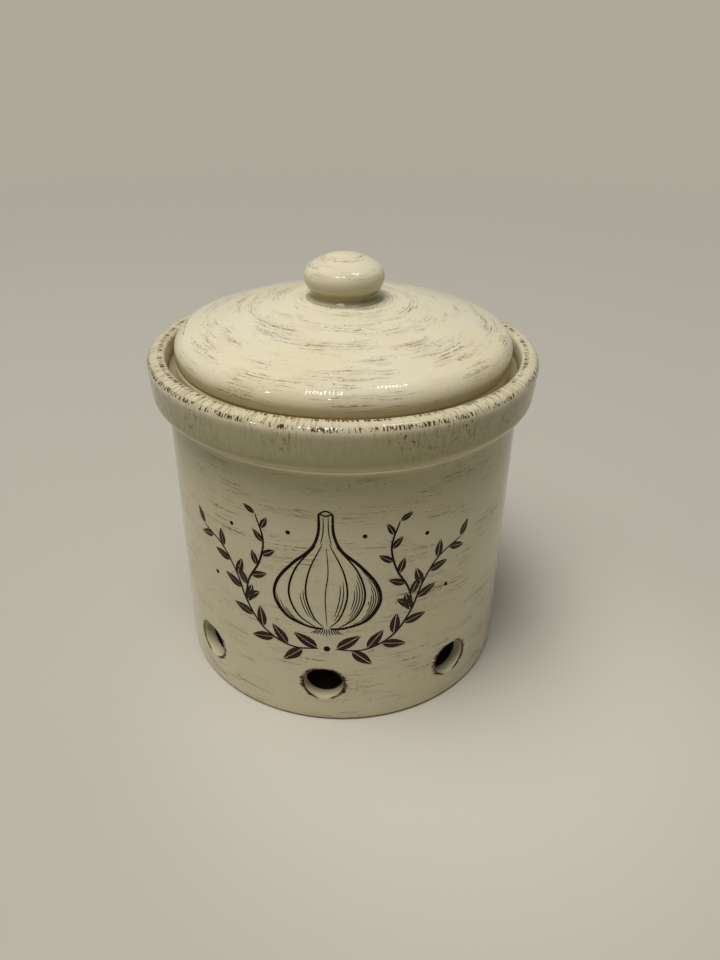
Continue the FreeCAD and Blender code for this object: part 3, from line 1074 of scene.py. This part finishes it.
def floor_finish():
    """Pale paper with a painted pool of light at the crock's right front, that melts into the backdrop far
    behind.
    """
    recipe = Recipe("plain_pale_paper")
    # Painted light: the paper is lighter near the crock's right front, as if lit there.
    away = ((recipe.x - 55) ** 2 + (recipe.y + 45) ** 2) ** 0.5
    recipe.give("Base Color", recipe.colour(recipe.rise(away, 150, 50), FLOOR_COLOUR, FLOOR_PAINTED_LIGHT))
    recipe.give("Roughness", 0.8)
    recipe.give("Specular IOR Level", 0.2)
    plain = recipe.add("ShaderNodeEmission", BACKDROP)
    melt = recipe.add("ShaderNodeMixShader", recipe.rise(recipe.radius, 450, 1500),
                      recipe.shader.outputs[0], plain.outputs[0])
    recipe.put(recipe.tree.nodes["Material Output"].inputs["Surface"], melt.outputs[0])
    return recipe.material


def floor():
    data = bpy.data.meshes.new("floor")
    corners = [(x * FLOOR_REACH, y * FLOOR_REACH, 0) for x, y in ((-1, -1), (1, -1), (1, 1), (-1, 1))]
    data.from_pydata(corners, [], [(0, 1, 2, 3)])
    data.materials.append(floor_finish())
    piece = in_scene("floor", data)


floor()
print("floor colours", FLOOR_COLOUR[:3], FLOOR_PAINTED_LIGHT[:3])

# %% World: soft light from above
SKY_TOP = 16.0
SKY_SIDE = 0.015
SKY_FOCUS = 32.0
SKY_CENTRE = Vector((-0.13, -0.17, 0.97)).normalized()


def soft_world():
    """Light from a soft patch overhead. The eye, and what the glaze mirrors, see the plain backdrop."""
    world = bpy.data.worlds.new("soft_overhead")
    bpy.context.scene.world = world
    world.use_nodes = True
    sky = Nodes(world.node_tree)
    sky.tree.nodes.clear()
    ray = sky.add("ShaderNodeTexCoord").outputs["Generated"]
    upwards = sky.add("ShaderNodeVectorMath", ray, SKY_CENTRE, operation="DOT_PRODUCT")
    level = sky.most(upwards.outputs["Value"], 0.0) ** SKY_FOCUS * SKY_TOP + SKY_SIDE
    light = sky.add("ShaderNodeBackground", named={"Strength": level})
    plain = sky.add("ShaderNodeBackground", BACKDROP)
    rays = sky.add("ShaderNodeLightPath").outputs
    seen = sky.most(sky.most(rays["Is Camera Ray"], rays["Is Glossy Ray"]), rays["Is Transmission Ray"])
    choice = sky.add("ShaderNodeMixShader", seen, light.outputs[0], plain.outputs[0])
    sky.add("ShaderNodeOutputWorld", choice.outputs[0])


soft_world()
print("sky: %.1f overhead, %.2f at the sides" % (SKY_TOP + SKY_SIDE, SKY_SIDE))

# %% Lamps
CAMERA_TURN = math.radians(6.2)
RIG = Matrix.Rotation(CAMERA_TURN, 4, "Z")
CROCK_MIDDLE = Vector((0, 0, 0.09))


def lamp(name, place, size, radiance, slant=None):
    """A lamp in the camera's rig, aimed at the crock, or with a slant hung flat and turned by it."""
    data = bpy.data.lights.new(name, "AREA")
    data.shape = "RECTANGLE"
    data.size, data.size_y = size
    data.energy = radiance * math.pi * size[0] * size[1]
    spot = RIG @ Vector(place)
    if slant is None:
        turn = (CROCK_MIDDLE - spot).to_track_quat("-Z", "Y").to_matrix().to_4x4()
    else:
        turn = RIG @ Matrix.Rotation(-math.radians(slant), 4, "Z")
    piece = in_scene(name, data)
    piece.matrix_world = Matrix.Translation(spot) @ turn
    return piece


def lamp_row(name, ends, slants, count, size, radiance):
    """A row of narrow lamps, bright in the glaze but no light for the floor."""
    places = steps(Vector(ends[0]), Vector(ends[1]), count - 1)
    for k, (place, slant) in enumerate(zip(places, steps(*slants, count - 1))):
        lamp(name + "_%d" % k, place, size, radiance, slant).visible_diffuse = False


lamp("soft_overhead", (-0.25, -0.12, 0.95), (0.6, 0.6), 1.8).visible_glossy = False
lamp_row("left_row", ((-0.147, -0.247, 0.5), (-0.007, -0.231, 0.5)), (19, 2), 10, (0.003, 0.14), 32)
lamp_row("right_row", ((0.085, -0.028, 0.5), (0.163, -0.010, 0.5)), (-9, -19), 9, (0.003, 0.10), 20)
lamp("low_strip", (-0.08, -0.44, 0.37), (0.07, 0.004), 60).visible_diffuse = False
lamp("side_window", (-0.57, -0.47, 0.5), (0.05, 0.05), 30).visible_diffuse = False

# %% Camera
CAMERA_DISTANCE = 0.2675
CAMERA_HEIGHT = 0.2219
CAMERA_TILT = math.radians(30.23)
CAMERA_YAW = math.radians(1.407)
CAMERA_ROLL = math.radians(0.94)
FOCAL_PIXELS = 772.8
PICTURE_LONG_SIDE = 960
SENSOR = 36.0


def camera():
    data = bpy.data.cameras.new("camera")
    data.sensor_fit = "AUTO"
    data.sensor_width = SENSOR
    data.lens = FOCAL_PIXELS * SENSOR / PICTURE_LONG_SIDE
    data.clip_start, data.clip_end = 0.01, 50
    piece = in_scene("camera", data)
    turn = (Matrix.Rotation(-CAMERA_YAW, 4, "Z") @ Matrix.Rotation(math.pi / 2 - CAMERA_TILT, 4, "X")
            @ Matrix.Rotation(CAMERA_ROLL, 4, "Z"))
    piece.matrix_world = RIG @ Matrix.Translation((0, -CAMERA_DISTANCE, CAMERA_HEIGHT)) @ turn
    bpy.context.scene.camera = piece
    print("lens %.2f mm" % data.lens)


camera()
bpy.context.scene.view_settings.view_transform = "Standard"
